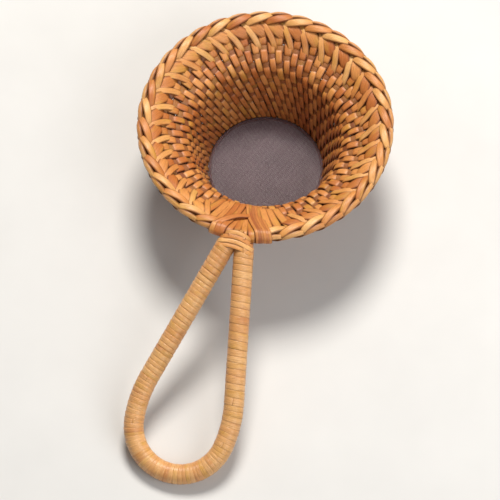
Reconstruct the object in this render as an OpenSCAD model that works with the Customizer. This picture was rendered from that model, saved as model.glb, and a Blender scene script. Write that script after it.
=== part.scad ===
// Hand-woven rattan tea strainer: a flared funnel of interlaced strips over a wire filter,
// with a plaited border and a wrapped teardrop loop handle lashed to the rim.
// Z points up along the funnel axis, the foot ring stands on z = 0 and the handle runs to -Y.

/* [Funnel] */
// Radius of the woven wall where it meets the foot plane
foot_r = 20.4; // [20.2:0.1:20.8]
// Height at which the straight wall and the straight lip would meet
crest_z = 25.5; // [25:0.25:26.5]
// Lean of the wall away from vertical, in degrees
wall_tilt = 13.5; // [12.5:0.5:14]
// Slope of the flared lip above horizontal, in degrees
lip_slope = 31; // [30:1:32]
// Radius of the bend between wall and lip
bend_r = 8; // [6:1:9]
// Radius at which the stakes end under the rim
stake_end_r = 41.8; // [41:0.2:43]
// Lean of the stakes round the funnel, in degrees
swirl = 15; // [0:1:16]

/* [Weave] */
// Number of border units round the rim, two stakes each
unit_count = 36; // [36:1:36]
// Width of a stake strip
stake_w = 1.5; // [1:0.1:1.55]
// Thickness of a stake strip
stake_t = 0.45; // [0.3:0.05:0.5]
// Width of a weft band
weft_w = 1.8; // [1.4:0.1:1.8]
// Thickness of a weft band at its middle
weft_t = 0.5; // [0.4:0.05:0.5]
// Width of the flat band at the base of the weave
base_band_w = 2.4; // [2:0.1:2.6]
// Path length from the foot to the middle of the base band
first_row_s = 2.6; // [2.5:0.1:2.8]
// Path length from one band to the next at the base
row_pitch = 3.75; // [3.7:0.05:3.8]
// Amount by which each gap between bands closes up towards the rim
row_closing = 0.048; // [0.045:0.001:0.05]

/* [Border] */
// Diameter of the plaited beads along the edge
bead_d = 2.4; // [2:0.1:2.5]
// Diameter of the cord outside the stake ends
back_cord_d = 1.4; // [1:0.1:1.4]
// Width of the broad border leaves
leaf_w = 3.2; // [2:0.1:3.4]
// Width of the narrow border strips
strip_w = 1.7; // [1.2:0.1:2]

/* [Foot] */
// Radius of the outside of the foot ring
foot_ring_r = 23.8; // [23.4:0.1:25]
// Height of the foot ring
foot_ring_h = 3.2; // [2.8:0.1:3.4]
// Radius of the clear opening inside the filter hoop
filter_clear_r = 18.9; // [18:0.1:19.2]
// Thickness of the filter disc
filter_t = 0.3; // [0.2:0.05:0.4]

/* [Handle] */
// Diameter of the wrapped handle rod
rod_d = 6.6; // [6:0.1:6.8]
// Thickness of the wrapping on the rod
wrap_t = 0.6; // [0.4:0.05:0.8]
// Length from the neck to the far centreline of the loop
loop_len = 82; // [81:0.5:85]
// Half width of the loop on its centreline
loop_half_w = 15.65; // [15.4:0.05:16.2]
// Angle of each leg from the loop's middle line, in degrees
leg_angle = 13.4; // [13:0.1:13.8]
// Where the middle lines of the two legs would meet the neck, from the loop's middle line
neck_half_gap = 1.7; // [1.5:0.1:1.9]
// Radius of the two long side bends on the centreline
side_r = 40; // [36:1:44]
// Radial place of the neck
neck_y = 40.5; // [40:0.1:41.5]
// Height of the rod centreline at the neck
neck_z = 36; // [35.5:0.1:36.5]
// Sideways lean of the handle, in degrees
handle_skew = 7; // [0:1:8]

/* [Hidden] */
$fn = 72;

row_count = 11;
last_row = row_count - 1;
gap = 0.05;
unit_step = 360 / unit_count;
rattan = "#d9975a";
rattan_pale = "#e8b27a";
rattan_dark = "#b87440";
steel = "#8a8488";

// Funnel profile: a straight wall, a bend and a straight lip, measured by path length s.
bend_angle = 90 - wall_tilt - lip_slope;
tangent_len = bend_r * tan(bend_angle / 2);
wall_len = crest_z / cos(wall_tilt) - tangent_len;
bend_len = bend_r * bend_angle * PI / 180;
crest_r = foot_r + crest_z * tan(wall_tilt);
bend_start = [foot_r + wall_len * sin(wall_tilt), wall_len * cos(wall_tilt)];
bend_centre = bend_start + bend_r * [cos(wall_tilt), -sin(wall_tilt)];
lip_start = [crest_r, crest_z] + tangent_len * [cos(lip_slope), sin(lip_slope)];
lip_start_s = wall_len + bend_len;
lip_end_s = lip_start_s + (stake_end_r - lip_start[0]) / cos(lip_slope);

// Lean of the profile above horizontal at path length s.
function lean(s) = s < wall_len ? 90 - wall_tilt
    : s > lip_start_s ? lip_slope
    : 90 - wall_tilt - (s - wall_len) / bend_r * 180 / PI;

// Middle of the woven wall at path length s, as [radius, height].
function wall(s) = s < wall_len ? [foot_r + s * sin(wall_tilt), s * cos(wall_tilt)]
    : s > lip_start_s ? lip_start + (s - lip_start_s) * [cos(lip_slope), sin(lip_slope)]
    : bend_centre + bend_r * [-sin(lean(s)), cos(lean(s))];

// Point off the wall towards the inside of the funnel by d.
function off_wall(s, d) = wall(s) + d * [-sin(lean(s)), cos(lean(s))];

// The base band is row 0 and the weft bands above it are rows 1 to last_row.
function row_s(i) = first_row_s + i * row_pitch - pow(i, 2) * row_closing;

// Height along a leaning stake, and its place across the plane through the axis.
function lean_z(z) = (z - crest_z) / cos(swirl);
function lean_x(p) = sqrt(pow(p[0], 2) - pow(lean_z(p[1]) * sin(swirl), 2));

// A stake passes over one weft band and under the next, flat for a short way at each.
over = (weft_t + stake_t) / 2 + gap;
flat_half = 0.5;
foot_bare_s = 0.4;

function stake_line(phase, end_s) = concat(
    [[foot_bare_s, 0]],
    [for (i = [0 : last_row], e = [-flat_half, flat_half])
        [row_s(i) + e, over * (i % 2 == phase ? 1 : -1)]],
    end_s < row_s(row_count) ? [[end_s, over * (last_row % 2 == phase ? 1 : -1)]]
        : [[row_s(row_count), 0], [end_s, 0]]
);

module stake(phase, end_s) {
    line = stake_line(phase, end_s);
    last = len(line) - 1;
    face = [for (k = [0 : last]) off_wall(line[k][0], line[k][1] + stake_t / 2)];
    back = [for (k = [last : -1 : 0]) off_wall(line[k][0], line[k][1] - stake_t / 2)];
    outline = [for (p = concat(face, back)) [lean_x(p), lean_z(p[1])]];
    translate([0, 0, crest_z])
        rotate([-swirl, 0, 0])
            rotate([90, 0, 0])
                linear_extrude(height = stake_w, center = true)
                    polygon(outline);
}

// Stakes near the neck stop short of the handle ends.
neck_clear_angle = 9;
neck_clear_s = lip_start_s + (35.6 - lip_start[0]) / cos(lip_slope);
neck_az = 270;

function from_neck(az) = abs(((az - neck_az + 540) % 360) - 180);
function stake_az(k) = (k + 0.25) * unit_step / 2;
lip_shift = asin((wall(lip_end_s)[1] - crest_z) * tan(swirl) / stake_end_r);
function stake_stop(az) = from_neck(az + lip_shift) < neck_clear_angle ? neck_clear_s : lip_end_s;

module stake_group(phase) {
    for (k = [phase : 2 : 2 * unit_count - 1])
        rotate([0, 0, stake_az(k)])
            stake(phase, stake_stop(stake_az(k)));
}

module stakes_a() {
    color(rattan) stake_group(0);
}

module stakes_b() {
    color(rattan_pale) stake_group(1);
}

// A band is thickest along its middle and thins to both edges.
module band(i, width) {
    side = weft_t / 2;
    translate([0, 0, wall(row_s(i))[1]])
        rotate_extrude()
            translate([wall(row_s(i))[0], 0])
                rotate(lean(row_s(i)))
                    polygon([
                        [-width / 2, 0], [-flat_half, -side], [flat_half, -side],
                        [width / 2, 0], [flat_half, side], [-flat_half, side]
                    ]);
}

module base_band() {
    color(rattan) band(0, base_band_w);
}

module weft_row(i) {
    color(rattan_dark) band(i, weft_w);
}

// Filter and foot: the filter disc lies inside the stakes on a hoop, below the base band, and
// a ring shaped to the wall stands outside them.
clamp_d = over + stake_t / 2 + gap;
filter_z = 1.2;
hoop_z = 0.3;

function wall_r(z, d) = foot_r + z * tan(wall_tilt) + d / cos(wall_tilt);

module filter_mesh() {
    color(steel)
        translate([0, 0, filter_z])
            cylinder(r = wall_r(filter_z, -clamp_d), h = filter_t);
}

module filter_hoop() {
    color(rattan_dark)
        rotate_extrude()
            polygon([
                [filter_clear_r, hoop_z],
                [wall_r(hoop_z, -clamp_d), hoop_z],
                [wall_r(filter_z, -clamp_d), filter_z],
                [filter_clear_r, filter_z]
            ]);
}

module foot_ring() {
    color(rattan)
        rotate_extrude()
            polygon([
                [wall_r(0, clamp_d), 0],
                [foot_ring_r, 0],
                [foot_ring_r, foot_ring_h],
                [wall_r(foot_ring_h, clamp_d), foot_ring_h]
            ]);
}

// Border: strips cross the last weft bands, broad leaves lie outside them, beads run along
// the edge over the stake ends, and a cord closes the outside. All lean the way the stakes
// do. The units beside the neck give way to the lashings.
border_gap_angle = 16;
leaf_len = 6.4;
leaf_t = 0.45;
leaf_s = lip_end_s - 5.4;
leaf_slant = 42;
strip_len = 7.6;
strip_s = lip_end_s - 9.6;
strip_slant = 26;
strip_d = over + stake_t / 2 + gap;
bead_span = unit_step - 0.3;

function unit_az(k) = (k + 0.5) * unit_step;
function kept(az, clear) = from_neck(az) > clear;

module on_lip(s, d) {
    p = off_wall(s, d);
    translate([p[0], 0, p[1]])
        rotate([0, -lip_slope, 0])
            children();
}

module border_leaves() {
    color(rattan_pale)
        for (k = [0 : unit_count - 1])
            if (kept(unit_az(k), border_gap_angle))
                rotate([0, 0, unit_az(k)])
                    on_lip(leaf_s, strip_d + leaf_t + gap)
                        rotate([0, 0, leaf_slant])
                            translate([-leaf_len / 2, -leaf_w / 2, 0])
                                cube([leaf_len, leaf_w, leaf_t]);
}

module border_strips() {
    color(rattan)
        for (k = [0 : unit_count - 1])
            if (kept(unit_az(k), border_gap_angle))
                rotate([0, 0, unit_az(k)])
                    on_lip(strip_s, strip_d)
                        rotate([0, 0, strip_slant])
                            translate([-strip_len / 2, -strip_w / 2, 0])
                                cube([strip_len, strip_w, leaf_t]);
}

bead_r = stake_end_r - 0.5;
bead_z = wall(lip_end_s - 0.5)[1] + (bead_d + stake_t) / 2 / cos(lip_slope) + gap;
bead_end_angle = asin(bead_d / 2 / bead_r);

module bead() {
    arc = bead_span - 2 * bead_end_angle;
    translate([0, 0, bead_z]) {
        rotate([0, 0, -arc / 2])
            rotate_extrude(angle = arc)
                translate([bead_r, 0])
                    circle(d = bead_d);
        for (side = [-1, 1])
            rotate([0, 0, side * arc / 2])
                translate([bead_r, 0, 0])
                    sphere(d = bead_d);
    }
}

module bead_group(first) {
    for (k = [first : 2 : unit_count - 1])
        if (kept(unit_az(k), border_gap_angle))
            rotate([0, 0, unit_az(k)])
                bead();
}

module edge_beads_a() {
    color(rattan_pale) bead_group(0);
}

module edge_beads_b() {
    color(rattan) bead_group(1);
}

cord_clear_angle = 9;
back_cord_z = wall(lip_end_s)[1] - 0.25;

module edge_back_cord() {
    color(rattan_pale)
        translate([0, 0, back_cord_z])
            rotate([0, 0, neck_az + cord_clear_angle])
                rotate_extrude(angle = 360 - 2 * cord_clear_angle)
                    translate([stake_end_r + back_cord_d / 2 + gap, 0])
                        circle(d = back_cord_d);
}

// Handle loop in its own plane: x across, y along from the neck to the far end.
// The legs start side by side, spread in straight lines, curve along two side bends and
// meet in one end arc.
side_x = loop_half_w - side_r;
side_y = (side_x + side_r * cos(leg_angle) - neck_half_gap) / tan(leg_angle)
    + side_r * sin(leg_angle);
side_back = side_y - loop_len;
end_r = (pow(side_r, 2) - pow(side_x, 2) - pow(side_back, 2)) / (2 * (side_back + side_r));
end_y = loop_len - end_r;
blend_angle = atan2(end_y - side_y, -side_x);
core_d = rod_d - 2 * wrap_t;
stub_x = core_d / 2 + gap;
stub_top = -2;
stub_foot = (stub_x - neck_half_gap) / tan(leg_angle);
leg_foot = [side_x + side_r * cos(leg_angle), side_y - side_r * sin(leg_angle)];
leg_len = (leg_foot[1] - stub_foot) / cos(leg_angle);
handle_drop = asin((neck_z - rod_d / 2) / loop_len);

module in_handle_plane() {
    translate([0, -neck_y, neck_z])
        rotate([0, 0, 180 - handle_skew])
            rotate([-handle_drop, 0, 0])
                children();
}

core_sides = 16;
core_slack = 0.15;
side_steps = 4;
end_steps = 9;
joint_gap = 0.02;

function arc_point(centre, r, angle) = centre + r * [cos(angle), sin(angle)];

// Right half of the core from the neck to the far end, as [x, y, heading].
core_half = concat(
    [[stub_x, stub_top, 90], [stub_x, stub_foot, 90 - leg_angle / 2]],
    [for (i = [0 : side_steps])
        let (a = -leg_angle + (blend_angle + leg_angle) * i / side_steps)
        concat(arc_point([side_x, side_y], side_r, a), [90 + a])],
    [for (i = [1 : end_steps])
        let (a = blend_angle + (90 - blend_angle) * i / end_steps)
        concat(arc_point([0, end_y], end_r, a), [90 + a])]
);
core_turn = len(core_half) - 1;
core_line = concat(
    core_half,
    [for (i = [core_turn - 1 : -1 : 0])
        [-core_half[i][0], core_half[i][1], 360 - core_half[i][2]]]
);

// The core is one bent rod, swept ring by ring along the loop.
module handle_core() {
    r = (core_d - core_slack) / 2;
    rings = len(core_line);
    points = [
        for (c = core_line, k = [0 : core_sides - 1])
            let (a = 360 * k / core_sides, across = r * cos(a), h = c[2] - 90)
            [c[0] + across * cos(h), c[1] + across * sin(h), r * sin(a)]
    ];
    sides = [
        for (i = [0 : rings - 2], k = [0 : core_sides - 1])
            let (a = i * core_sides + k, b = i * core_sides + (k + 1) % core_sides)
            [a, b, b + core_sides, a + core_sides]
    ];
    first_cap = [for (k = [core_sides - 1 : -1 : 0]) k];
    last_cap = [for (k = [0 : core_sides - 1]) (rings - 1) * core_sides + k];
    color(rattan_dark)
        in_handle_plane()
            polyhedron(points, concat(sides, [first_cap, last_cap]));
}

// Wrapping on a straight leg, from below the neck binding to the side bend.
module leg_wrap() {
    translate([leg_foot[0], leg_foot[1], 0])
        rotate([0, 0, -leg_angle])
            rotate([90, 0, 0])
                translate([0, 0, joint_gap])
                    linear_extrude(height = leg_len - wrap_start - joint_gap)
                        difference() {
                            circle(d = rod_d);
                            circle(d = core_d);
                        }
}

module handle_wrap_left() {
    color(rattan_pale)
        in_handle_plane()
            leg_wrap();
}

module handle_wrap_right() {
    color(rattan)
        in_handle_plane()
            mirror([1, 0, 0]) leg_wrap();
}

// Wrapping on a bend, clear of its neighbours by joint_gap.
module arc_wrap(centre, r, from, to) {
    margin = joint_gap / r * 180 / PI;
    translate([centre[0], centre[1], 0])
        rotate([0, 0, from + margin])
            rotate_extrude(angle = to - from - 2 * margin)
                translate([r, 0])
                    difference() {
                        circle(d = rod_d);
                        circle(d = core_d);
                    }
}

module side_wrap() {
    arc_wrap([side_x, side_y], side_r, -leg_angle, blend_angle);
}

module handle_wrap_side_left() {
    color(rattan)
        in_handle_plane()
            side_wrap();
}

module handle_wrap_side_right() {
    color(rattan)
        in_handle_plane()
            mirror([1, 0, 0]) side_wrap();
}

module handle_wrap_end() {
    color(rattan_pale)
        in_handle_plane()
            arc_wrap([0, end_y], end_r, blend_angle, 180 - blend_angle);
}

// Neck binding: flat turns round both legs where they lie side by side.
binding_turns = 5;
binding_pitch = 1.6;
binding_w = 1.5;
binding_start = -1.2;
wrap_start = 3;

module oval(half_w, d) {
    for (side = [-1, 1])
        translate([side * half_w, 0])
            circle(d = d);
    square([2 * half_w, d], center = true);
}

module neck_binding() {
    color(rattan_pale)
        in_handle_plane()
            for (k = [0 : binding_turns - 1]) {
                y = binding_start + k * binding_pitch + binding_w;
                reach = max(stub_x, neck_half_gap + y * tan(leg_angle)) + gap;
                translate([0, y, 0])
                    rotate([90, 0, 0])
                        linear_extrude(height = binding_w)
                            difference() {
                                oval(reach, rod_d);
                                oval(reach, core_d + gap);
                            }
            }
}

// Lashings: flat loops round the lip on both sides of the neck, and one strip across.
lash_in_s = wall_len + bend_len * 0.55;
lash_out_s = lip_end_s + 1.9;
lash_samples = 8;
lash_clear = over + stake_t / 2 + gap;
lash_t = 0.45;

function lash_outline(d, extra) = concat(
    [for (k = [0 : lash_samples])
        off_wall(lash_in_s - extra + k * (lash_out_s - lash_in_s + 2 * extra) / lash_samples, d)],
    [for (k = [lash_samples : -1 : 0])
        off_wall(lash_in_s - extra + k * (lash_out_s - lash_in_s + 2 * extra) / lash_samples, -d)]
);

module lash_turn(az, width, slant) {
    p = wall((lash_in_s + lash_out_s) / 2);
    rotate([0, 0, neck_az + az])
        translate([p[0], 0, p[1]])
            rotate([0, -lip_slope, 0])
                rotate([0, 0, slant])
                    rotate([0, lip_slope, 0])
                        translate([-p[0], 0, -p[1]])
                            rotate([90, 0, 0])
                                linear_extrude(height = width, center = true)
                                    difference() {
                                        polygon(lash_outline(lash_clear + lash_t, lash_t));
                                        polygon(lash_outline(lash_clear, 0));
                                    }
}

module lashing_left() {
    color(rattan)
        for (k = [0 : 2])
            lash_turn(-13.5 - 4.6 * k, 2, -14);
}

module lashing_right() {
    color(rattan_dark)
        for (k = [0 : 4])
            lash_turn(12 + 2.8 * k, 1.2, 10);
}

cross_s = lip_start_s + 4.2;
cross_w = 2;
cross_angle = 9.6;

module lashing_cross() {
    color(rattan_dark)
        rotate([0, 0, neck_az - cross_angle])
            rotate_extrude(angle = 2 * cross_angle, $fn = 180)
                polygon([
                    off_wall(cross_s, lash_clear),
                    off_wall(cross_s + cross_w, lash_clear),
                    off_wall(cross_s + cross_w, lash_clear + lash_t),
                    off_wall(cross_s, lash_clear + lash_t)
                ]);
}

filter_mesh();
filter_hoop();
foot_ring();
base_band();
weft_row(1);  // weft_row_01
weft_row(2);  // weft_row_02
weft_row(3);  // weft_row_03
weft_row(4);  // weft_row_04
weft_row(5);  // weft_row_05
weft_row(6);  // weft_row_06
weft_row(7);  // weft_row_07
weft_row(8);  // weft_row_08
weft_row(9);  // weft_row_09
weft_row(10);  // weft_row_10
stakes_a();
stakes_b();
border_leaves();
border_strips();
edge_beads_a();
edge_beads_b();
edge_back_cord();
handle_core();
handle_wrap_left();
handle_wrap_right();
handle_wrap_side_left();
handle_wrap_side_right();
handle_wrap_end();
neck_binding();
lashing_left();
lashing_right();
lashing_cross();
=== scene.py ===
import math
import random
from collections import namedtuple

import bpy
import numpy as np
from mathutils import Matrix, Vector


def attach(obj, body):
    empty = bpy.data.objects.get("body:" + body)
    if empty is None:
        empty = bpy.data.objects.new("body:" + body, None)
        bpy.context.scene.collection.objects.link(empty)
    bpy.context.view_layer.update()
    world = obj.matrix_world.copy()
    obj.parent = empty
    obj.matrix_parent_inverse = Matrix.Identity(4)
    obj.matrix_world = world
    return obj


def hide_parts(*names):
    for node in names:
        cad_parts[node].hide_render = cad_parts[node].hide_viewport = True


# A woven rattan tea strainer. Lengths are millimetres until a mesh is made; only the floor
# and the lights are in metres.
MM = 0.001
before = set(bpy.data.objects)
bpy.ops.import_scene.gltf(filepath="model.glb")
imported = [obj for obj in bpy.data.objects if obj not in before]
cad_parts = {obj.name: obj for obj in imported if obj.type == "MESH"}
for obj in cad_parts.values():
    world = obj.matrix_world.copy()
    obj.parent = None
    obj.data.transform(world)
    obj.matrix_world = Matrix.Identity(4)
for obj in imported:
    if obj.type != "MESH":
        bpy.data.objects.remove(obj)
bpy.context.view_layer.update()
chance = random.Random(7)


# ---------------------------------------------------------------- dimensions
# Funnel profile: straight wall, bend and straight lip, as in the CAD model.
FOOT_R = 20.4
CREST_Z = 25.5
WALL_TILT = math.radians(13.5)
LIP_SLOPE = math.radians(31)
BEND_R = 8.0
STAKE_END_R = 41.8
SWIRL = math.radians(15)

# Weave
UNITS = 36
STAKES = 2 * UNITS
ROWS = 11
FIRST_ROW = 2.6
ROW_PITCH = 3.75
ROW_CLOSING = 0.048
STAKE_T = 0.8
WEFT_T = 0.55
OVER = 0.5
STAKE_START_S = 0.4
STAKE_FILL = 0.90
STAKE_MAX_W = 2.9
DIP_HALF = 0.88
WEFT_WAVE = 0.34
WEFT_FILL = 1.02
BASE_W = 2.6

# Foot and filter
FILTER_CLEAR_R = 18.9
FILTER_R = 19.8
FILTER_Z = 1.35
WIRE_PITCH = 0.44
WIRE_D = 0.21
WIRE_SIDES = 5

# Handle
ROD_D = 6.6
WRAP_T = 0.6
LOOP_LEN = 82.0
LOOP_HALF_W = 15.65
LEG_ANGLE = math.radians(13.4)
NECK_HALF_GAP = 1.7
SIDE_R = 40.0
NECK_Y = 40.5
NECK_Z = 36.0
HANDLE_SKEW = math.radians(7)
STUB_RISE = 2.0
CORE_START_U = 4.6
ROD_STEP = 0.8
TURN_STATIONS = 30
NECK_AZ = 270.0

bend_angle = math.pi / 2 - WALL_TILT - LIP_SLOPE
tangent_len = BEND_R * math.tan(bend_angle / 2)
wall_len = CREST_Z / math.cos(WALL_TILT) - tangent_len
bend_len = BEND_R * bend_angle
crest_r = FOOT_R + CREST_Z * math.tan(WALL_TILT)
bend_start = np.array([FOOT_R + wall_len * math.sin(WALL_TILT), wall_len * math.cos(WALL_TILT)])
bend_centre = bend_start + BEND_R * np.array([math.cos(WALL_TILT), -math.sin(WALL_TILT)])
lip_dir = np.array([math.cos(LIP_SLOPE), math.sin(LIP_SLOPE)])
lip_start = np.array([crest_r, CREST_Z]) + tangent_len * lip_dir
lip_start_s = wall_len + bend_len
lip_end_s = lip_start_s + (STAKE_END_R - lip_start[0]) / math.cos(LIP_SLOPE)


# ---------------------------------------------------------------- profile
def row_s(i):
    """Path length to the middle of band i, where band 0 is the flat one at the base."""
    return FIRST_ROW + i * ROW_PITCH - i ** 2 * ROW_CLOSING


def row_at(s):
    """The band number, with a fraction, at path length s."""
    return (ROW_PITCH - np.sqrt(ROW_PITCH ** 2 - 4 * ROW_CLOSING * (s - FIRST_ROW))) / (2 * ROW_CLOSING)


def lean(s):
    """Slope of the profile above horizontal at path length s."""
    along_bend = (np.asarray(s, float) - wall_len) / BEND_R
    return math.pi / 2 - WALL_TILT - np.clip(along_bend, 0, bend_angle)


def profile(s):
    """Radius and height of the middle of the woven wall at path length s."""
    s = np.asarray(s, float)
    a = lean(s)
    straight = s < wall_len
    beyond = np.maximum(s - lip_start_s, 0)
    r = bend_centre[0] - BEND_R * np.sin(a) + beyond * lip_dir[0]
    z = bend_centre[1] + BEND_R * np.cos(a) + beyond * lip_dir[1]
    r = np.where(straight, FOOT_R + s * math.sin(WALL_TILT), r)
    z = np.where(straight, s * math.cos(WALL_TILT), z)
    return r, z


def on_wall(azimuth, s, d, turn=90.0):
    """Points at d towards the inside of the funnel, and directions at an angle turn in the
    plane of the profile: 90 faces the inside, 0 runs outwards along the profile."""
    azimuth = np.radians(np.asarray(azimuth, float))
    turn = np.radians(np.asarray(turn, float))
    a = lean(s)
    r, z = profile(s)
    r = r - d * np.sin(a)
    z = z + d * np.cos(a)
    out = np.cos(turn) * np.cos(a) - np.sin(turn) * np.sin(a)
    up = np.cos(turn) * np.sin(a) + np.sin(turn) * np.cos(a)
    c, n = np.cos(azimuth), np.sin(azimuth)
    places = np.stack([r * c, r * n, z + 0 * c], -1)
    facing = np.stack([out * c, out * n, up + 0 * c], -1)
    return places, facing


def lean_shift(s):
    """How far round, in degrees, a leaning stake has moved at path length s."""
    r, z = profile(s)
    return np.degrees(np.arcsin((z - CREST_Z) * math.tan(SWIRL) / r))


# ---------------------------------------------------------------- strips
SECTION_POINTS = 12
section_angle = (np.arange(SECTION_POINTS) + 0.5) * 2 * math.pi / SECTION_POINTS


def rounded(values, power):
    return np.sign(values) * np.abs(values) ** power


CROWNED = (rounded(np.cos(section_angle), 0.55) / 2, rounded(np.sin(section_angle), 0.8) / 2)
FLAT = (rounded(np.cos(section_angle), 0.22) / 2, rounded(np.sin(section_angle), 0.5) / 2)


def unit(v):
    return v / np.maximum(np.linalg.norm(v, axis=-1, keepdims=True), 1e-12)


def column(value, n):
    return np.broadcast_to(np.asarray(value, float), (n,))


def strip(route, facing, width, thick, tint=0.5, painted_shade=0.0, closed=False, section=CROWNED, back=None):
    """One solid strip with a rounded section swept along a route, with the values that its
    material reads: place along and across the strip, its own tint, its edges, and the painted
    shade of each point where it lies deep in the weave, on its face and on its back."""
    n = len(route)
    width, thick, painted_shade = column(width, n), column(thick, n), column(painted_shade, n)
    back = painted_shade if back is None else column(back, n)
    tint = column(tint, n)
    if closed:
        tangent = np.roll(route, -1, 0) - np.roll(route, 1, 0)
    else:
        tangent = np.gradient(route, axis=0)
    tangent = unit(tangent)
    side = unit(np.cross(tangent, facing))
    normal = np.cross(side, tangent)
    across = width[:, None] * section[0]
    up = thick[:, None] * section[1]
    points = route[:, None] + side[:, None] * across[..., None] + normal[:, None] * up[..., None]
    steps = np.linalg.norm(np.diff(route, axis=0), axis=1)
    along = np.concatenate([[0], np.cumsum(steps)])
    own = chance.uniform(0, 900)
    grain = np.stack([np.broadcast_to(along[:, None], across.shape), across,
                      np.full(across.shape, own)], -1)
    edge = np.abs(section[0] * 2)[None] * np.ones((n, 1))
    ring = np.arange(SECTION_POINTS)
    following = (ring + 1) % SECTION_POINTS
    rows = np.arange(n if closed else n - 1)[:, None]
    ahead = (rows + 1) % n
    k = SECTION_POINTS
    quads = np.stack([rows * k + ring, ahead * k + ring, ahead * k + following,
                      rows * k + following], -1).reshape(-1, 4)
    caps = [] if closed else [ring.tolist(), ((n - 1) * k + ring[::-1]).tolist()]
    depth = np.where(section[1] > 0, painted_shade[:, None], back[:, None])
    return (points.reshape(-1, 3), quads.tolist() + caps, grain.reshape(-1, 3),
            np.repeat(tint, k), edge.reshape(-1), depth.reshape(-1))


def piece(name, strips, material, slot, *nodes):
    """One object made of strips, riding on the root body in place of its CAD nodes."""
    faces, offset = [], 0
    for part in strips:
        faces += [[offset + v for v in face] for face in part[1]]
        offset += len(part[0])
    places = np.concatenate([part[0] for part in strips]) * MM
    mesh = bpy.data.meshes.new(name)
    mesh.from_pydata(places.tolist(), [], faces)
    for label, kind, key, column_of in (("grain", "FLOAT_VECTOR", "vector", 2), ("tint", "FLOAT", "value", 3),
                                        ("edge", "FLOAT", "value", 4), ("painted_shade", "FLOAT", "value", 5)):
        data = np.concatenate([part[column_of] for part in strips]).astype(np.float32)
        mesh.attributes.new(label, kind, "POINT").data.foreach_set(key, data.ravel())
    mesh.polygons.foreach_set("use_smooth", [True] * len(mesh.polygons))
    mesh.materials.append(material)
    mesh.update()
    made = bpy.data.objects.new(name, mesh)
    bpy.context.scene.collection.objects.link(made)
    if nodes:
        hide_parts(*nodes)
    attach(made, "root")
    return made


def smooth_line(points, count):
    """A Catmull-Rom curve through control rows, as count rows at even steps."""
    p = np.asarray(points, float)
    p = np.vstack([2 * p[0] - p[1], p, 2 * p[-1] - p[-2]])
    t = np.linspace(0, len(p) - 3 - 1e-9, count)
    i = t.astype(int)
    f = (t - i)[:, None]
    a, b, c, d = p[i], p[i + 1], p[i + 2], p[i + 3]
    return 0.5 * (2 * b + (c - a) * f + (2 * a - 5 * b + 4 * c - d) * f ** 2
                  + (3 * b - a - 3 * c + d) * f ** 3)


def closed_line(points, count):
    """The same curve through a closed ring of control rows."""
    p = np.asarray(points, float)
    n = len(p)
    t = np.arange(count) * n / count
    i = t.astype(int)
    f = (t - i)[:, None]
    a, b, c, d = p[(i - 1) % n], p[i % n], p[(i + 1) % n], p[(i + 2) % n]
    return 0.5 * (2 * b + (c - a) * f + (2 * a - 5 * b + 4 * c - d) * f ** 2
                  + (3 * b - a - 3 * c + d) * f ** 3)


def swell(count, middle, first, last, power=1.0):
    """Values that rise from first to middle and fall to last."""
    t = np.linspace(0, 1, count)
    hump = np.sin(math.pi * t) ** power
    return (first + (last - first) * t) * (1 - hump) + middle * hump


# ---------------------------------------------------------------- materials
def linear(r, g, b):
    """A colour given as screen values from 0 to 255."""
    def one(c):
        c /= 255
        return c / 12.92 if c <= 0.04045 else ((c + 0.055) / 1.055) ** 2.4
    return (one(r), one(g), one(b), 1)


class Nodes:
    """A small helper round one material's node tree."""

    def __init__(self, name):
        self.material = bpy.data.materials.new(name)
        self.material.use_nodes = True
        self.tree = self.material.node_tree
        self.shader = self.tree.nodes["Principled BSDF"]

    def add(self, kind, **settings):
        node = self.tree.nodes.new(kind)
        for key, value in settings.items():
            setattr(node, key, value)
        return node

    def link(self, source, target):
        self.tree.links.new(source, target)

    def attribute(self, name, output="Fac"):
        return self.add("ShaderNodeAttribute", attribute_name=name).outputs[output]

    def scaled(self, vector, factors):
        node = self.add("ShaderNodeVectorMath", operation="MULTIPLY")
        self.link(vector, node.inputs[0])
        node.inputs[1].default_value = factors
        return node.outputs[0]

    def noise(self, vector, scale, detail=2.0, roughness=0.5):
        node = self.add("ShaderNodeTexNoise")
        self.link(vector, node.inputs["Vector"])
        node.inputs["Scale"].default_value = scale
        node.inputs["Detail"].default_value = detail
        node.inputs["Roughness"].default_value = roughness
        return node.outputs["Fac"]

    def ranged(self, value, low, high, to_low=0.0, to_high=1.0):
        node = self.add("ShaderNodeMapRange")
        self.link(value, node.inputs["Value"])
        for key, number in (("From Min", low), ("From Max", high), ("To Min", to_low), ("To Max", to_high)):
            node.inputs[key].default_value = number
        return node.outputs["Result"]

    def math(self, operation, a, b):
        node = self.add("ShaderNodeMath", operation=operation)
        for slot_index, value in ((0, a), (1, b)):
            if isinstance(value, (int, float)):
                node.inputs[slot_index].default_value = value
            else:
                self.link(value, node.inputs[slot_index])
        return node.outputs[0]

    def blend(self, factor, a, b):
        node = self.add("ShaderNodeMix", data_type="RGBA")
        self.link(factor, node.inputs["Factor"])
        for key, value in ((6, a), (7, b)):
            if isinstance(value, tuple):
                node.inputs[key].default_value = value
            else:
                self.link(value, node.inputs[key])
        return node.outputs[2]

    def bump(self, height, distance, strength):
        node = self.add("ShaderNodeBump")
        node.inputs["Distance"].default_value = distance
        node.inputs["Strength"].default_value = strength
        self.link(height, node.inputs["Height"])
        return node.outputs["Normal"]


HONEY = linear(212, 138, 70)
PALE = linear(234, 176, 106)
RUSSET = linear(178, 96, 42)
STRAW = linear(208, 156, 62)
SEAM = linear(96, 42, 16)
SHADE_BROWN = linear(54, 18, 6)


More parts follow.
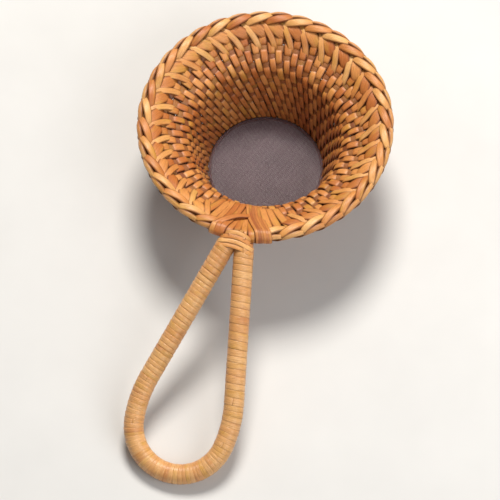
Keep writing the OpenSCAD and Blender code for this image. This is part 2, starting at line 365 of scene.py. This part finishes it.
def rattan(name, dull, bright, gloss=0.42, rim=0.85):
    """Split rattan: fibres along each strip, a tint of its own, straw-coloured and russet
    stretches, dark edges, and painted shade low in the weave."""
    n = Nodes(name)
    grain = n.attribute("grain", "Vector")
    fibre = n.noise(n.scaled(grain, (0.55, 9.0, 1.0)), 1.0, 4.0, 0.62)
    streak = n.noise(n.scaled(grain, (0.16, 3.4, 1.0)), 1.0, 2.0, 0.5)
    patch = n.noise(n.scaled(grain, (0.11, 0.25, 1.0)), 1.0, 2.0, 0.5)
    stain = n.noise(n.scaled(grain, (0.09, 0.2, 3.7)), 1.0, 1.0, 0.5)
    speck = n.noise(n.scaled(grain, (3.0, 7.0, 1.0)), 1.0, 2.0, 0.6)
    own = n.math("ADD", n.math("MULTIPLY", n.attribute("tint"), 0.62), n.math("MULTIPLY", streak, 0.38))
    colour = n.blend(n.ranged(own, 0.22, 0.78), dull, bright)
    colour = n.blend(n.ranged(patch, 0.52, 0.70, 0.0, 0.58), colour, STRAW)
    colour = n.blend(n.ranged(stain, 0.58, 0.74, 0.0, 0.5), colour, RUSSET)
    colour = n.blend(n.ranged(fibre, 0.30, 0.54, 0.42, 0.0), colour, SEAM)
    colour = n.blend(n.ranged(fibre, 0.58, 0.80, 0.0, 0.28), colour, PALE)
    colour = n.blend(n.ranged(speck, 0.66, 0.78, 0.0, 0.3), colour, SEAM)
    colour = n.blend(n.ranged(n.attribute("edge"), 0.62, 1.0, 0.0, rim), colour, SEAM)
    # Painted shade: darker brown where the strip lies deep in the weave, under its neighbours.
    colour = n.blend(n.ranged(n.attribute("painted_shade"), 0.0, 1.0, 0.0, 0.92), colour, SHADE_BROWN)
    n.link(colour, n.shader.inputs["Base Color"])
    n.link(n.ranged(fibre, 0.3, 0.7, gloss + 0.16, gloss - 0.06), n.shader.inputs["Roughness"])
    n.shader.inputs["Specular IOR Level"].default_value = 0.5
    n.shader.inputs["Coat Weight"].default_value = 0.10
    n.shader.inputs["Coat Roughness"].default_value = 0.32
    relief = n.math("ADD", fibre, n.math("MULTIPLY", streak, 1.4))
    n.link(n.bump(relief, 0.00016, 0.55), n.shader.inputs["Normal"])
    return n.material


def wire_metal():
    n = Nodes("gauze_wire")
    grain = n.attribute("grain", "Vector")
    tarnish = n.noise(n.scaled(grain, (0.12, 1.0, 0.02)), 1.0, 3.0, 0.6)
    colour = n.blend(n.ranged(tarnish, 0.35, 0.7), linear(112, 92, 98), linear(146, 124, 131))
    # Painted shade on the wires where they dip under the wires that cross them.
    n.link(n.blend(n.ranged(n.attribute("painted_shade"), 0.0, 1.0, 0.0, 0.5), colour, linear(60, 52, 52)),
           n.shader.inputs["Base Color"])
    n.shader.inputs["Metallic"].default_value = 0.75
    n.link(n.ranged(tarnish, 0.3, 0.7, 0.34, 0.52), n.shader.inputs["Roughness"])
    scratch = n.noise(n.scaled(grain, (1.5, 6.0, 1.0)), 1.0, 2.0, 0.5)
    n.link(n.bump(scratch, 0.00003, 0.4), n.shader.inputs["Normal"])
    return n.material


def floor_paint():
    n = Nodes("pale_floor")
    place = n.add("ShaderNodeTexCoord").outputs["Object"]
    mottle = n.noise(place, 14.0, 4.0, 0.6)
    n.link(n.blend(n.ranged(mottle, 0.3, 0.7), linear(208, 206, 202), linear(216, 214, 210)),
           n.shader.inputs["Base Color"])
    n.shader.inputs["Roughness"].default_value = 0.75
    n.link(n.bump(mottle, 0.0002, 0.1), n.shader.inputs["Normal"])
    return n.material


honey = rattan("rattan_honey", linear(186, 106, 46), linear(222, 150, 80))
pale = rattan("rattan_light", HONEY, PALE, 0.38)
russet = rattan("rattan_russet", linear(166, 94, 50), HONEY, 0.46)
wrapping = rattan("rattan_wrapping", linear(216, 150, 88), linear(236, 184, 120), 0.31, 0.16)
core_cane = rattan("rattan_core", linear(70, 32, 14), linear(112, 60, 30), 0.6)
gauze = wire_metal()


# ---------------------------------------------------------------- woven wall
def stake_wave(s, phase):
    """1 along the long stretches where a stake lies over a band, with a short dip to -1
    under every second band."""
    q = row_at(s)
    under = 2 * np.round((q - 1 + phase) / 2) + 1 - phase
    away = np.abs(q - under) * np.gradient(s, q)
    over = np.cos(math.pi * (q - under) / 2 + math.pi / 2) ** 2
    return 1 - 2 * np.exp(-(away / DIP_HALF) ** 2) + 0.45 * over


def from_neck(azimuth):
    """Degrees between an azimuth and the neck."""
    return abs((azimuth - NECK_AZ + 180) % 360 - 180)


def stake(k):
    """One leaning stake, woven over and under the bands up to the lip."""
    phase = k % 2
    azimuth = (k + 0.25) * 360 / STAKES + chance.uniform(-0.35, 0.35)
    s = np.arange(STAKE_START_S, lip_end_s - 3.2, 0.25)
    last = row_s(ROWS - 1)
    fade = np.clip((s - STAKE_START_S) / 1.2, 0, 1) * np.clip((last + 3.0 - s) / 1.5, 0, 1)
    wave = stake_wave(s, phase) * fade
    d = OVER * chance.uniform(0.9, 1.1) * wave - 0.35 * np.clip((s - last - 1.0) / 2, 0, 1)
    bend = 0.4 * np.sin(s / 7 + chance.uniform(0, 6.3))
    r = profile(s)[0]
    places, facing = on_wall(azimuth + lean_shift(s) + bend, s, d)
    width = np.minimum(STAKE_FILL * 2 * math.pi * r / STAKES, STAKE_MAX_W) * chance.uniform(0.9, 1.05)
    width = width * (1 + 0.06 * np.sin(s / 2.7 + chance.uniform(0, 6.3)) + 0.05 * wave)
    # Painted shade where the stake dips under a band, painted shade growing towards the base of the funnel
    # (low), and painted shade on its back where it lies over a band.
    painted_shade = np.clip(1.0 - wave, 0, 1) * 0.9
    low = np.clip((25 - s) / 25, 0, 1) * 0.30
    back = np.clip(0.75 + wave, 0, 1) * 0.8
    return strip(places, facing, width, STAKE_T, chance.uniform(0, 1), np.maximum(painted_shade, low), back=back)


def weft(i, width):
    """A band that bulges into the funnel where it crosses over a stake."""
    turns = np.arange(0, 360, 360 / (STAKES * 6))
    around = np.radians(turns)
    s = row_s(i) + 0.12 * np.sin(around * 5 + i)
    stake_place = (turns - lean_shift(row_s(i))) / 360 * STAKES - 0.25
    sign = 1 if i % 2 == 0 else -1
    wave = -np.cos(math.pi * stake_place) * sign
    places, facing = on_wall(turns, s, WEFT_WAVE * wave)
    # Painted shade where the band runs under a stake, on its back where it runs over one, and an overall
    # painted shade (low) on every band but the last one at the lip.
    painted_shade = np.clip(0.9 - wave, 0, 1) * 0.95
    low = 0.1 if i == ROWS - 1 else 0.45
    tint = 0.5 + 0.5 * np.sin(around * 3 + i * 2.4) * np.sin(around * 7 + i)
    width = width * (1 + 0.05 * np.sin(around * 9 + i))
    back = np.clip(0.9 + wave, 0, 1) * 0.8
    return strip(places, facing, width, WEFT_T, tint, np.maximum(painted_shade, low), closed=True, back=back)


piece("stake_strips_a", [stake(k) for k in range(0, STAKES, 2)], honey, "rattan", "stakes_a")
piece("stake_strips_b", [stake(k) for k in range(1, STAKES, 2)], honey, "rattan_pale", "stakes_b")
piece("base_strip", [weft(0, BASE_W)], honey, "rattan", "base_band")
for i in range(1, ROWS):
    weft_w = WEFT_FILL * (row_s(i) - row_s(i - 1))
    piece(f"weft_strip_{i:02d}", [weft(i, weft_w)], russet, "rattan_dark", f"weft_row_{i:02d}")


# ---------------------------------------------------------------- foot and filter
def hoop(r, z0, z1, thick, tilt):
    """A flat hoop of rattan standing on edge, its inner face turned upwards by tilt."""
    turns = np.radians(np.arange(0, 360, 1.5))
    wobble = 0.06 * np.sin(3 * turns + z0)
    places = np.stack([(r + wobble) * np.cos(turns), (r + wobble) * np.sin(turns),
                       np.full(len(turns), (z0 + z1) / 2)], -1)
    facing = np.stack([-np.cos(turns) * math.cos(tilt), -np.sin(turns) * math.cos(tilt),
                       np.full(len(turns), math.sin(tilt))], -1)
    tint = 0.5 + 0.4 * np.sin(2 * turns + z1)
    return strip(places, facing, z1 - z0, thick, tint, closed=True)


def wires(along_x):
    """Routes of the gauze's wires, each over and under those that cross it, and their tints."""
    made = []
    half = int(FILTER_R / WIRE_PITCH)
    for j in range(-half, half + 1):
        offset = j * WIRE_PITCH
        length = math.sqrt(max(FILTER_R ** 2 - offset ** 2, 0.2))
        steps = max(int(length / WIRE_PITCH), 2)
        t = np.arange(-2 * steps, 2 * steps + 1) * WIRE_PITCH / 2
        side = 1 if (j % 2 == 0) == along_x else -1
        wave = side * np.cos(math.pi * t / WIRE_PITCH)
        height = FILTER_Z + wave * WIRE_D * 0.5
        flat = np.full(len(t), offset)
        xy = (t, flat) if along_x else (flat, t)
        made.append((np.stack([*xy, height], -1), chance.uniform(0, 1)))
    return made


def wire_piece(name, along_x, *nodes):
    """The wires that run one way, as tubes with WIRE_SIDES sides."""
    places, faces, grain, painted_shade = [], [], [], []
    offset = 0
    k = np.arange(WIRE_SIDES)
    following = (k + 1) % WIRE_SIDES
    for route, own in wires(along_x):
        n = len(route)
        tangent = unit(np.gradient(route, axis=0))
        across = unit(np.cross(tangent, [0, 0, 1.0]))
        up = np.cross(across, tangent)
        a = k * 2 * math.pi / WIRE_SIDES
        ring = np.cos(a)[None, :, None] * across[:, None] + np.sin(a)[None, :, None] * up[:, None]
        places.append((route[:, None] + ring * WIRE_D / 2).reshape(-1, 3))
        i = np.arange(n - 1)[:, None] * WIRE_SIDES + offset
        quads = np.stack([i + k, i + WIRE_SIDES + k, i + WIRE_SIDES + following, i + following], -1)
        faces += quads.reshape(-1, 4).tolist()
        faces += [(offset + k).tolist(), (offset + (n - 1) * WIRE_SIDES + k[::-1]).tolist()]
        length = np.repeat(np.arange(n) * WIRE_PITCH / 2, WIRE_SIDES)
        grain.append(np.stack([length, np.tile(k, n) * 0.1, np.full(n * WIRE_SIDES, own * 50)], -1))
        # Painted shade for the stretches of wire that dip under the crossing wires.
        painted_shade.append(np.repeat(np.clip((FILTER_Z - route[:, 2]) / WIRE_D, 0, 0.5), WIRE_SIDES))
        offset += n * WIRE_SIDES
    whole = (np.concatenate(places), faces, np.concatenate(grain), np.full(offset, 0.5),
             np.zeros(offset), np.concatenate(painted_shade))
    piece(name, [whole], gauze, "steel_gauze", *nodes)


wire_piece("gauze_wires_a", True, "filter_mesh")
wire_piece("gauze_wires_b", False)
piece("inner_hoop", [hoop(FILTER_CLEAR_R + 0.45, 0.3, 1.2, 0.9, 0.2)], russet, "rattan_dark", "filter_hoop")
piece("foot_band", [hoop(22.25, 0.0, 3.2, 0.85, -0.24), hoop(23.1, 0.0, 3.0, 0.8, -0.1)], honey, "rattan",
      "foot_ring")


# ---------------------------------------------------------------- plaited border
# The control rows of a strip give its azimuth, its path length (the stakes end at lip_end_s,
# which is about 43.7), its height off the middle of the wall and its facing turn.
def lip_strip(controls, count, width, thick, tint, painted_shade=0.0, closed=False):
    """A strip through control rows of azimuth, path length, height and facing turn."""
    line = closed_line(controls, count) if closed else smooth_line(controls, count)
    places, facing = on_wall(line[:, 0], line[:, 1], line[:, 2], line[:, 3])
    return strip(places, facing, width, thick, tint, painted_shade, closed)


def unit_az(k):
    """The azimuth of border unit k."""
    return (k + 0.5) * 360 / UNITS


border_units = [k for k in range(UNITS) if from_neck(unit_az(k)) > 16]
edge_units = [k for k in range(UNITS) if from_neck(unit_az(k)) > 14]


def shade_at_ends(count, first, last, share=0.22):
    """Painted shade that fades in from both ends of a strip, where its ends tuck under other strips."""
    t = np.linspace(0, 1, count)
    return np.clip(1 - t / share, 0, 1) * first + np.clip(1 - (1 - t) / share, 0, 1) * last


def leaf(k):
    """A broad crowned strip running mostly round the rim, from under the chain inwards."""
    a = unit_az(k) + chance.uniform(-0.4, 0.4)
    size = chance.uniform(0.94, 1.06)
    rows = [
        (a + 6.6, 41.6, 0.2, 80),
        (a + 4.2, 40.6, 1.15, 80),
        (a + 0.9, 39.0, 1.7, 90),
        (a - 2.4, 37.2, 1.3, 98),
        (a - 5.0, 35.6, 0.0, 102),
    ]
    return lip_strip(rows, 20, swell(20, 4.15 * size, 2.8, 2.4, 0.6), 0.8, chance.uniform(0, 1),
                     shade_at_ends(20, 0.7, 0.8, 0.2))


def inner_strip(k):
    """A pale strip from the chain over the leaves' ends and the last band, into the weave."""
    a = unit_az(k) + 4.4 + chance.uniform(-0.4, 0.4)
    rows = [
        (a + 4.6, 42.0, 0.1, 88),
        (a + 3.0, 40.4, 1.25, 90),
        (a + 0.6, 37.8, 1.85, 92),
        (a - 1.7, 35.2, 1.4, 92),
        (a - 3.4, 32.8, 0.75, 92),
        (a - 4.4, 31.2, -0.6, 92),
    ]
    return lip_strip(rows, 24, swell(24, 2.25, 1.7, 1.5, 0.6), 0.55, chance.uniform(0, 1),
                     shade_at_ends(24, 0.8, 0.9, 0.14))


def lay_strip(k, d, lean_round, width):
    """A bent-over stake end running round the rim under the leaves."""
    a = unit_az(k) + chance.uniform(-0.4, 0.4)
    rows = [
        (a - lean_round, 36.6, d + 0.1, 90),
        (a - 0.4 * lean_round, 38.4, d, 90),
        (a + 0.6 * lean_round, 40.6, d, 90),
        (a + 1.3 * lean_round, 42.4, d + 0.1, 90),
    ]
    # Painted shade for a strip lying under the leaves, less for the one laid further out.
    return lip_strip(rows, 16, width, 0.45, chance.uniform(0, 0.6), 0.55 if d > -0.5 else 0.15)


def bead(k):
    """One link of the chain along the edge: it starts on top, inside the one before it, and
    ends outside and below, under the one after it."""
    a = unit_az(k) + chance.uniform(-0.3, 0.3)
    rows = [
        (a + 7.4, 40.6, 0.4, 92),
        (a + 5.2, 41.1, 1.35, 88),
        (a + 1.6, 41.9, 2.0, 80),
        (a - 2.0, 42.6, 1.75, 66),
        (a - 5.0, 43.1, 0.9, 50),
        (a - 7.0, 43.2, -0.2, 40),
    ]
    return lip_strip(rows, 24, swell(24, 2.75, 1.5, 1.2, 0.6), 1.4, chance.uniform(0, 1),
                     shade_at_ends(24, 0.75, 0.75, 0.16))


def back_strand(k):
    """A thin strand along the outside of each link."""
    a = unit_az(k) + chance.uniform(-0.3, 0.3)
    rows = [
        (a + 6.6, 42.4, -0.9, 20),
        (a + 4.0, 43.4, 0.1, 20),
        (a + 0.6, 44.0, 0.55, 12),
        (a - 3.2, 44.0, 0.1, 0),
        (a - 6.4, 43.2, -1.0, -30),
    ]
    return lip_strip(rows, 20, swell(20, 1.9, 1.3, 1.3, 0.7), 1.1, chance.uniform(0, 1),
                     shade_at_ends(20, 0.7, 0.7, 0.2))


def under_strand(k):
    """A strand under the edge, from the chain back to the underside of the lip."""
    a = unit_az(k) + chance.uniform(-0.3, 0.3)
    rows = [
        (a + 6.0, 43.6, -0.6, -20),
        (a + 3.6, 43.0, -1.45, -70),
        (a - 0.5, 41.0, -1.75, -90),
        (a - 4.2, 38.8, -1.35, -92),
        (a - 6.0, 37.6, -0.5, -95),
    ]
    return lip_strip(rows, 18, swell(18, 2.7, 1.5, 1.8), 0.55, chance.uniform(0, 1),
                     shade_at_ends(18, 0.6, 0.7, 0.2))


def edge_cord():
    """A round cane inside the edge, under the chain."""
    turns = np.arange(NECK_AZ + 9, NECK_AZ + 351, 1.5)
    places, facing = on_wall(turns, 42.6, -0.35)
    # Painted shade on the cane under the chain.
    return strip(places, facing, 1.7, 1.5, 0.3, 0.45)


def lay_ring(s, d, width, painted_shade):
    """A flat strip laid right round the rim, inside the plait."""
    turns = np.arange(NECK_AZ - 351, NECK_AZ - 9, 1.5)
    places, facing = on_wall(turns, s, d)
    return strip(places, facing, width, 0.4, chance.uniform(0, 0.5), painted_shade)


even = [k for k in edge_units if k % 2 == 0]
odd = [k for k in edge_units if k % 2]
lays = [lay_strip(k, -0.25, 7, 2.6) for k in border_units]
under_lays = [lay_strip(k, -0.8, -7, 2.6) for k in border_units]
# The rings carry painted shade, as they lie inside the plait.
rings = [lay_ring(37.0, -0.5, 2.2, 0.7), lay_ring(39.2, -0.55, 2.3, 0.7), lay_ring(41.3, -0.6, 2.1, 0.7)]
outside = [back_strand(k) for k in edge_units] + [under_strand(k) for k in edge_units]
piece("border_leaf_strips", [leaf(k) for k in border_units] + lays, honey, "rattan_pale", "border_leaves")
piece("border_cross_strips", [inner_strip(k) for k in border_units] + under_lays + rings, pale, "rattan",
      "border_strips")
piece("edge_chain_a", [bead(k) for k in even], pale, "rattan_pale", "edge_beads_a")
piece("edge_chain_b", [bead(k) for k in odd], honey, "rattan", "edge_beads_b")
piece("edge_back_strands", outside + [edge_cord()], pale, "rattan_pale", "edge_back_cord")


# ---------------------------------------------------------------- handle
side_x = LOOP_HALF_W - SIDE_R
side_y = ((side_x + SIDE_R * math.cos(LEG_ANGLE) - NECK_HALF_GAP) / math.tan(LEG_ANGLE)
          + SIDE_R * math.sin(LEG_ANGLE))
side_back = side_y - LOOP_LEN
end_r = (SIDE_R ** 2 - side_x ** 2 - side_back ** 2) / (2 * (side_back + SIDE_R))
end_y = LOOP_LEN - end_r
blend_angle = math.atan2(end_y - side_y, -side_x)
core_r = ROD_D / 2 - WRAP_T
stub_x = core_r + 0.05
stub_foot = (stub_x - NECK_HALF_GAP) / math.tan(LEG_ANGLE)
handle_drop = math.asin((NECK_Z - ROD_D / 2) / LOOP_LEN)
to_frame = np.array(Matrix.Rotation(math.pi - HANDLE_SKEW, 3, "Z") @ Matrix.Rotation(-handle_drop, 3, "X"))


def in_frame(points):
    """From the handle's own plane to the frame."""
    return points @ to_frame.T + np.array([0, -NECK_Y, NECK_Z])


def arc(centre, r, first, last, step=0.25):
    angles = np.linspace(first, last, max(int(abs(last - first) * r / step), 2))
    return np.stack([centre[0] + r * np.cos(angles), centre[1] + r * np.sin(angles)], -1)


def straight(a, b, step=0.25):
    t = np.linspace(0, 1, max(int(math.dist(a, b) / step), 2))[:, None]
    return np.array(a) * (1 - t) + np.array(b) * t


leg_foot = (side_x + SIDE_R * math.cos(LEG_ANGLE), side_y - SIDE_R * math.sin(LEG_ANGLE))
half_loop = np.concatenate([
    straight((stub_x, -STUB_RISE), (stub_x, stub_foot))[:-1],
    straight((stub_x, stub_foot), leg_foot)[:-1],
    arc((side_x, side_y), SIDE_R, -LEG_ANGLE, blend_angle)[:-1],
    arc((0, end_y), end_r, blend_angle, math.pi / 2),
])
loop = np.concatenate([half_loop, half_loop[-2::-1] * [-1, 1]])
loop_u = np.concatenate([[0], np.cumsum(np.linalg.norm(np.diff(loop, axis=0), axis=1))])
loop_total = loop_u[-1]


def on_loop(u):
    """The point of the loop at path length u."""
    return np.stack([np.interp(u, loop_u, loop[:, 0]), np.interp(u, loop_u, loop[:, 1]), 0 * u], -1)


def rod(u):
    """Centre line of the rod at path length u, with its across direction and its heading."""
    heading = unit(on_loop(u + ROD_STEP) - on_loop(u - ROD_STEP))
    across = np.stack([heading[:, 1], -heading[:, 0], 0 * u], -1)
    return on_loop(u), across, heading


def core_rod():
    """The bent rod, from just inside the top of the neck binding and back to it."""
    u = np.arange(CORE_START_U, loop_total - CORE_START_U, ROD_STEP)
    centre, across, _ = rod(u)
    size = 2 * core_r - 0.1
    # Light painted shade on the rod under its wrapping.
    return strip(in_frame(centre), across @ to_frame.T, size, size, 0.3, 0.2)


leg_len = math.dist((stub_x, stub_foot), leg_foot)
side_len = SIDE_R * (blend_angle + LEG_ANGLE)
leg_u = STUB_RISE + stub_foot + leg_len
side_u = leg_u + side_len
first_u = STUB_RISE + stub_foot + 1.2

# Stretches of the wrapping: where each ends, how wide its turns are, how far they overlap,
# how far apart the loosest of them lie, and how much one edge stands above its neighbour.
Stretch = namedtuple("Stretch", "name node slot stop turn_w overlap loose tilt")
STRETCHES = (
    Stretch("wrap_leg_left", "handle_wrap_left", "rattan_pale", leg_u, (1.4, 2.3), 1.02, 0.22, 0.08),
    Stretch("wrap_bend_left", "handle_wrap_side_left", "rattan", side_u, (1.3, 2.1), 1.09, 0.10, 0.06),
    Stretch("wrap_end", "handle_wrap_end", "rattan_pale", loop_total - side_u, (1.1, 1.7), 1.24, 0.0, 0.05),
    Stretch("wrap_bend_right", "handle_wrap_side_right", "rattan", loop_total - leg_u, (1.4, 2.2), 1.09,
            0.04, 0.03),
    Stretch("wrap_leg_right", "handle_wrap_right", "rattan", loop_total - first_u, (1.6, 3.0), 1.02,
            0.05, 0.02),
)


class Winding:
    """One flat strip wound round the whole rod, turn by turn."""

    def __init__(self):
        self.middles, self.widths, self.tints, self.tilts = [], [], [], []
        self.last_turns = []
        u = first_u
        for stretch in STRETCHES:
            while u < stretch.stop:
                width = chance.uniform(*stretch.turn_w)
                gap = stretch.loose * chance.uniform(0, 1) ** 3
                self.middles.append(u + width / 2)
                self.widths.append(width * stretch.overlap - gap)
                self.tints.append(chance.uniform(0.15, 0.85))
                self.tilts.append(stretch.tilt)
                u += width
            self.last_turns.append(len(self.middles))

    def turns(self, first, last):
        """The strip from turn number first to last."""
        t = np.arange(first * TURN_STATIONS, last * TURN_STATIONS + 1) / TURN_STATIONS
        index = np.arange(len(self.middles)) + 0.5
        u = np.interp(t, index, self.middles)
        width = np.interp(t, index, self.widths)
        tint = np.interp(t, index, self.tints)
        tilt = np.interp(t, index, self.tilts)
        angle = t * 2 * math.pi + math.pi / 2
        centre, across, heading = rod(u)
        radial = across * np.cos(angle)[:, None] + np.array([0, 0, 1.0]) * np.sin(angle)[:, None]
        height = core_r + WRAP_T / 2 + 0.025 * np.sin(t * 2.3)
        places = centre + radial * height[:, None]
        facing = radial + heading * tilt[:, None]
        return strip(in_frame(places), facing @ to_frame.T, width, WRAP_T, tint, 0.0, section=FLAT)


winding = Winding()
piece("handle_rod", [core_rod()], core_cane, "rattan_dark", "handle_core")
first_turn = 0
for stretch, last_turn in zip(STRETCHES, winding.last_turns):
    piece(stretch.name, [winding.turns(first_turn, last_turn)], wrapping, stretch.slot, stretch.node)
    first_turn = last_turn


# ---------------------------------------------------------------- neck
def neck_turn(y, reach, r, arch, width, tint):
    """One flat turn round both legs, arched towards the rim on top."""
    angle = np.radians(np.arange(0, 360, 5))
    x = reach * np.clip(1.8 * np.cos(angle), -1, 1) + r * np.cos(angle)
    z = r * np.sin(angle)
    bow = (1 - (x / (reach + r)) ** 2) * arch
    places = np.stack([x, y - bow, z], -1)
    facing = np.stack([np.cos(angle) * 0.9, -0.16 + 0 * angle, np.sin(angle)], -1)
    return strip(in_frame(places), facing @ to_frame.T, width, 0.62, tint, 0.0, closed=True)


def neck_turns():
    """The turns of the neck binding, narrower towards the rim."""
    made = []
    for j, squeeze in enumerate((0.5, 0.85, 1.0, 1.0)):
        y = 2.1 + j * 1.5
        reach = max(stub_x, NECK_HALF_GAP + y * math.tan(LEG_ANGLE)) - 0.1
        round_r = core_r * (0.8 + 0.2 * squeeze) + 0.42
        width = chance.uniform(1.6, 1.8)
        made.append(neck_turn(y, reach * squeeze, round_r, 1.15, width, chance.uniform(0, 1)))
    return made


def neck_folds():
    """Strip ends folded over the top of the neck binding."""
    made = []
    angle = np.radians(np.arange(-95, 96, 5))
    for j in range(4):
        x = (j - 1.5) * 1.5
        places = np.stack([x + 0 * angle, 2.4 - (2.6 - 0.25 * x ** 2) * np.cos(angle),
                           (core_r + 0.15) * np.sin(angle)], -1)
        facing = np.stack([0 * angle, -np.cos(angle), np.sin(angle)], -1)
        # Light painted shade on the folded ends.
        made.append(strip(in_frame(places), facing @ to_frame.T, 1.6, 0.6, chance.uniform(0, 1), 0.25))
    return made


piece("neck_wrap", neck_turns() + neck_folds(), pale, "rattan_pale", "neck_binding")


def lashing(crest, edge, width, lift, tint):
    """A flat loop round the lip, from the crest to the outer edge, between two azimuths."""
    a, b = NECK_AZ + crest, NECK_AZ + edge
    c = (a + b) / 2
    rows = [
        (a - 0.1 * (b - a), 26.6, 0.3, 130),
        (a, 28.4, 1.25 + lift, 92),
        (c - 0.2 * (b - a), 34.0, 1.45 + lift, 90),
        (c + 0.2 * (b - a), 39.5, 1.9 + lift, 84),
        (b, 43.6, 2.1 + lift, 62),
        (b + 0.1 * (b - a), 45.3, 0.2, -5),
        (b, 43.6, -1.7, -70),
        (c, 37.0, -1.35, -90),
        (a, 29.0, -1.2, -90),
    ]
    return lip_strip(rows, 90, width, 0.5, tint, 0.0, closed=True)


left_lashing = [lashing(-3.4 - 3.7 * k, -7.6 - 2.2 * k, 2.3, 0.4 - 0.13 * k, chance.uniform(0.1, 0.7))
                for k in range(3)]
right_lashing = [lashing(-0.6 + 1.8 * k, 7.4 + 1.2 * k, 1.15, 0.55 - 0.05 * k, chance.uniform(0, 0.8))
                 for k in range(6)]
middle_lashing = [lashing(-2.2 + 1.2 * k, -4.6 + 3.3 * k, 2.3, -0.15, chance.uniform(0.1, 0.7))
                  for k in range(4)]
piece("lashing_strips_left", left_lashing + middle_lashing, honey, "rattan", "lashing_left")
piece("lashing_strips_right", right_lashing, russet, "rattan_dark", "lashing_right")


def cross_strip():
    """The strip that runs over the left lashing and under the right one."""
    rows = [
        (NECK_AZ + 5.0, 33.6, 1.3, 90),
        (NECK_AZ + 1.0, 35.2, 2.4, 90),
        (NECK_AZ - 4.0, 37.2, 3.0, 88),
        (NECK_AZ - 9.0, 40.8, 2.9, 76),
        (NECK_AZ - 12.0, 44.2, 1.7, 30),
        (NECK_AZ - 12.5, 44.6, -0.6, -30),
    ]
    return lip_strip(rows, 40, 2.2, 0.5, 0.3)


def fan_strip(crest, edge, lift, side, width, rise):
    """A broad strip beside the lashings, where the border starts or ends."""
    a, b = NECK_AZ + crest, NECK_AZ + edge
    rows = [
        (a - side, 27.6, 0.2, 96),
        (a, 29.8, 1.1 + rise + lift, 90),
        (a + 0.4 * (b - a), 34.6, 1.3 + rise + lift, 88),
        (a + 0.8 * (b - a), 39.4, 1.3 + lift, 84),
        (b, 42.0, 0.7 + lift, 70),
        (b + 0.4 * side, 43.0, -0.4, 40),
    ]
    return lip_strip(rows, 40, swell(40, width, 2.0, 1.8), 0.6, chance.uniform(0.2, 0.9),
                     shade_at_ends(40, 0.6, 0.5, 0.1))


FANS_RIGHT = ((10.0, 14.0, 0.5), (14.0, 18.5, 0.3), (18.5, 24.0, 0.1))
FANS_LEFT = ((-13.6, -15.6, 0.3), (-17.4, -21.0, 0.1))
cross_and_fans = [cross_strip()]
cross_and_fans += [fan_strip(*fan, 1, 2.7, 0.05) for fan in FANS_RIGHT]
cross_and_fans += [fan_strip(*fan, -1, 2.6, 0.0) for fan in FANS_LEFT]
piece("lashing_strip_cross", cross_and_fans, honey, "rattan_dark", "lashing_cross")


# ---------------------------------------------------------------- studio
def floor(half):
    """A square floor at z = 0, half its side from the middle to each edge."""
    mesh = bpy.data.meshes.new("floor")
    corners = [(-half, -half, 0), (half, -half, 0), (half, half, 0), (-half, half, 0)]
    mesh.from_pydata(corners, [], [(0, 1, 2, 3)])
    mesh.materials.append(floor_paint())
    made = bpy.data.objects.new("floor", mesh)
    bpy.context.scene.collection.objects.link(made)


def area_light(name, place, aim, size, watts, colour):
    """A soft round lamp at a place, aimed at a point."""
    data = bpy.data.lights.new(name, "AREA")
    data.shape = "DISK"
    data.size = size
    data.energy = watts
    data.color = colour
    lamp = bpy.data.objects.new(name, data)
    lamp.location = place
    lamp.rotation_euler = (Vector(aim) - Vector(place)).to_track_quat("-Z", "Y").to_euler()
    bpy.context.scene.collection.objects.link(lamp)


def camera(azimuth, elevation, roll, distance, aim, lens):
    """A camera at an azimuth of 0 looks along +Y, and at 90 along -X."""
    a, e, turn = (math.radians(v) for v in (azimuth, elevation, roll))
    back = Vector((math.sin(a) * math.cos(e), -math.cos(a) * math.cos(e), math.sin(e)))
    right = Vector((math.cos(a), math.sin(a), 0))
    up = back.cross(right)
    rolled_right = math.cos(turn) * right + math.sin(turn) * up
    rolled_up = -math.sin(turn) * right + math.cos(turn) * up
    data = bpy.data.cameras.new("camera")
    data.lens = lens
    data.sensor_width = 36
    data.clip_start = 0.01
    made = bpy.data.objects.new("camera", data)
    place = Vector(aim) * MM + back * distance * MM
    basis = Matrix((rolled_right, rolled_up, back)).transposed().to_4x4()
    made.matrix_world = Matrix.Translation(place) @ basis
    bpy.context.scene.collection.objects.link(made)
    bpy.context.scene.camera = made


floor(1.5)
camera(azimuth=13.18, elevation=65.92, roll=-1.53, distance=744.8, aim=(2.8, -39.0, 18.5), lens=161.7)
area_light("key", place=(-0.06, 0.40, 0.78), aim=(0, -0.02, 0.02), size=0.32, watts=9.2,
           colour=(1.0, 0.97, 0.93))
area_light("fill", place=(0.55, -0.38, 0.60), aim=(0, -0.03, 0.02), size=0.70, watts=4.0,
           colour=(0.95, 0.97, 1.0))
world = bpy.data.worlds.new("studio")
world.use_nodes = True
world.node_tree.nodes["Background"].inputs["Color"].default_value = (0.95, 0.97, 1.0, 1)
world.node_tree.nodes["Background"].inputs["Strength"].default_value = 0.18
bpy.context.scene.world = world
bpy.context.scene.view_settings.view_transform = "Standard"
